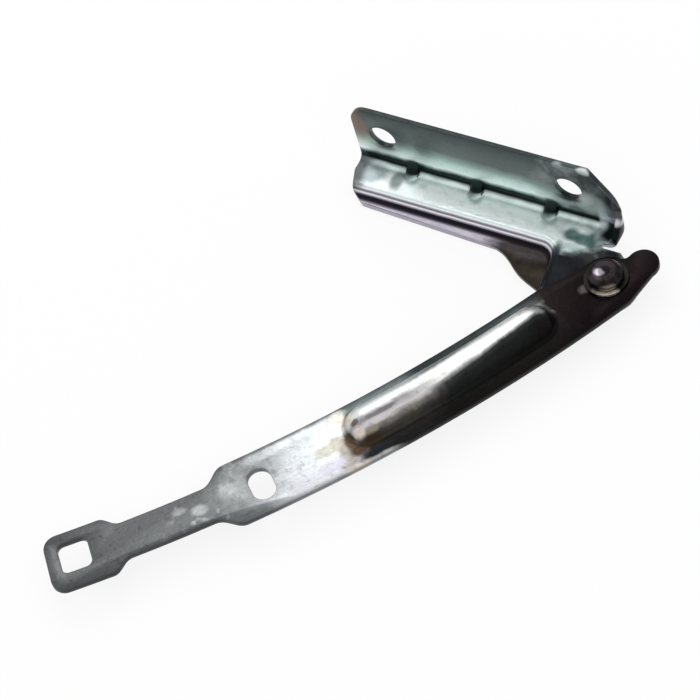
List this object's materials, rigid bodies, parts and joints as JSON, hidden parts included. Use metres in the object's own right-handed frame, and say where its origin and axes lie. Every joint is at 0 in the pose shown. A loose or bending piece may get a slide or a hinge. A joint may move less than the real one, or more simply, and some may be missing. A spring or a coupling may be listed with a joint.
{
  "type": "hood hinge",
  "caption": "Pressed steel hood hinge: a bolted body bracket and a long beaded arm that turns on a riveted pivot and stops against the bracket's end wall.",
  "frame": {"origin": "middle of the two bolt holes, on the bracket's bolted back face", "axes": "+X along the bracket towards the pivot, +Y out of the bolted back face, +Z along the pivot axis towards the rivet's head"},
  "size_m": [0.1609, 0.2213, 0.0369],
  "materials": {
    "zinc_bracket": "zinc plated, cool grey with a faint teal cast, light rust at one corner",
    "zinc_arm": "zinc plated, dulled towards the pad and oil darkened towards the pivot, rust stain by the bead",
    "rivet_steel": "worn plated steel with a dark oily film",
    "bush_bronze": "dull sintered bronze, oily",
    "washer_steel": "dull plated steel"
  },
  "bodies": {
    "bracket": {"body_bracket": "zinc_bracket", "pivot_rivet": "rivet_steel", "thrust_washer": "washer_steel", "tail_washer": "washer_steel"},
    "arm": {"hood_arm": "zinc_arm", "pivot_bush": "bush_bronze"}
  },
  "joints": [
    {"name": "arm_pivot", "type": "hinge", "parent": "bracket", "child": "arm", "pos_m": [0.0665, -0.0288, -0.013], "axis": [0, 0, 1], "range_deg": [-55, 30]}
  ]
}
